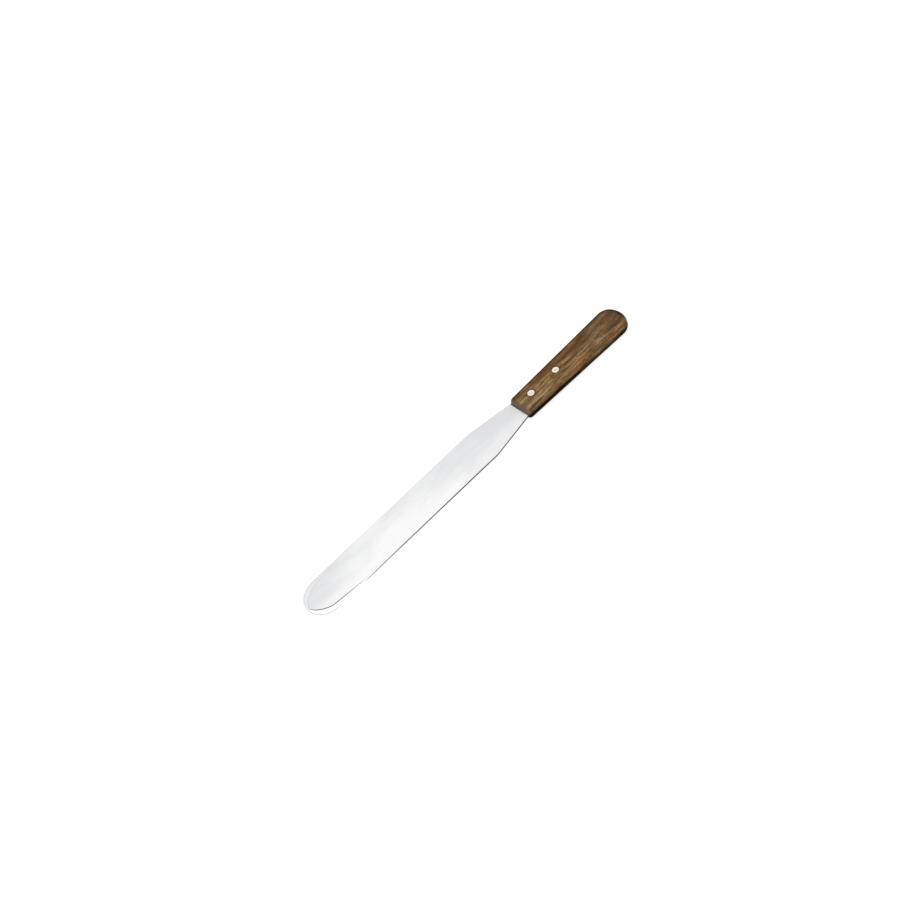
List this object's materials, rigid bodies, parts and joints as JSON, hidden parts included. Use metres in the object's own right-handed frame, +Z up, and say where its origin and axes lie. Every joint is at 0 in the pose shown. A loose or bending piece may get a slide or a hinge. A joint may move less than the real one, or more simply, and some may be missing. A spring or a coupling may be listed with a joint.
{
  "type": "palette knife",
  "caption": "Palette knife with a long flexible steel blade, straight sides, tapered shoulders and a half-round tip, its half tang riveted into a slotted hardwood handle.",
  "frame": {"origin": "middle of the knife's length and width, on the plane that the underside of the handle rests on", "axes": "+X along the knife from the blade's tip to the handle's butt, +Y across the blade, +Z up from the handle's underside"},
  "size_m": [0.309, 0.0318, 0.0111],
  "materials": {
    "blade_steel": "lengthwise satin polish on stainless spring steel",
    "handle_wood": "oiled dark brown hardwood, open grain along the handle",
    "rivet_metal": "polished nickel silver"
  },
  "bodies": {
    "root": {"blade": "blade_steel", "handle": "handle_wood", "front_rivet_sleeve": "rivet_metal", "front_rivet_stud": "rivet_metal", "rear_rivet_sleeve": "rivet_metal", "rear_rivet_stud": "rivet_metal"}
  },
  "joints": []
}
